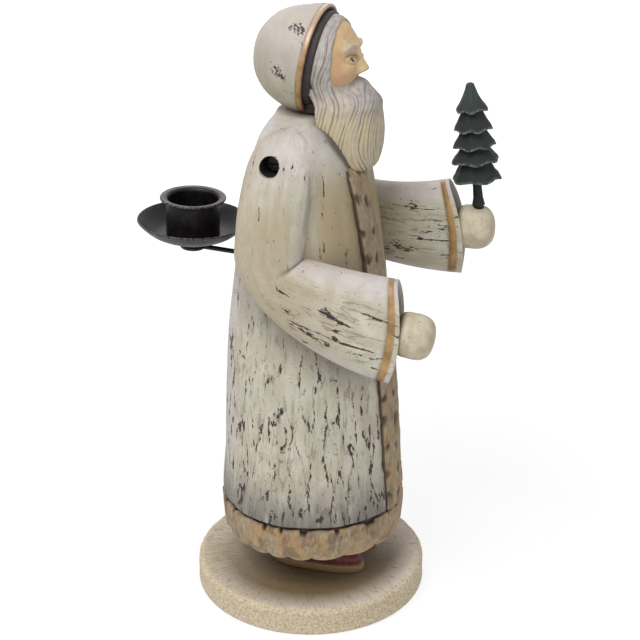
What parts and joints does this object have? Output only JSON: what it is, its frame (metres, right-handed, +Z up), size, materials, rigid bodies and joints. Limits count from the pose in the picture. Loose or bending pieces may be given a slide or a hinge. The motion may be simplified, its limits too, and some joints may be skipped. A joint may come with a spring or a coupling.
{
  "type": "figurine candle holder",
  "caption": "Carved hooded winter figure on a round base, holding a small lift-out tree, with a plug-in taper-candle cup and drip pan behind its back.",
  "frame": {"origin": "centre of the round base's underside", "axes": "+Z up; the figure faces -Y, its right arm is on -X and its left arm on +X; the candle cup stands behind it on +Y"},
  "size_m": [0.108, 0.1596, 0.277],
  "materials": {
    "base_paint": "sandy matt paint, brushed and speckled",
    "boot_paint": "satin dark red paint",
    "steel": "plain screw steel",
    "cream_paint": "cream paint with dark crackle lines",
    "fur_paint": "stippled beige paint with brown edges",
    "bare_wood": "bare dowel",
    "lining_paint": "dark brown matt paint",
    "skin_paint": "satin flesh paint",
    "beard_paint": "cream paint, grooves darkened",
    "hand_paint": "satin cream paint",
    "tree_paint": "dark green matt paint, frosted tips",
    "black_metal": "black satin"
  },
  "bodies": {
    "figure": {"base_disc": "base_paint", "right_boot": "boot_paint", "left_boot": "boot_paint", "right_base_screw": "steel", "left_base_screw": "steel", "robe_body": "cream_paint", "fur_hem": "fur_paint", "fur_placket": "fur_paint", "neck_dowel": "bare_wood", "hood": "cream_paint", "hood_lining": "lining_paint", "head": "skin_paint", "beard": "beard_paint", "right_arm": "cream_paint", "left_arm": "cream_paint", "right_shoulder_screw": "steel", "left_shoulder_screw": "steel", "right_hand": "hand_paint", "left_hand": "hand_paint"},
    "tree": {"tree_foliage": "tree_paint", "tree_trunk": "tree_paint"},
    "candle_arm": {"candle_rod": "black_metal", "candle_pan": "black_metal", "candle_cup": "black_metal", "candle_rivet": "black_metal"}
  },
  "joints": [
    {"name": "tree_lift", "type": "slide", "parent": "figure", "child": "tree", "axis": [0, 0.1115, 0.9938], "range_m": [0, 0.009]},
    {"name": "candle_arm_pull", "type": "slide", "parent": "figure", "child": "candle_arm", "axis": [0, 0.9994, 0.0349], "range_m": [0, 0.02]}
  ]
}
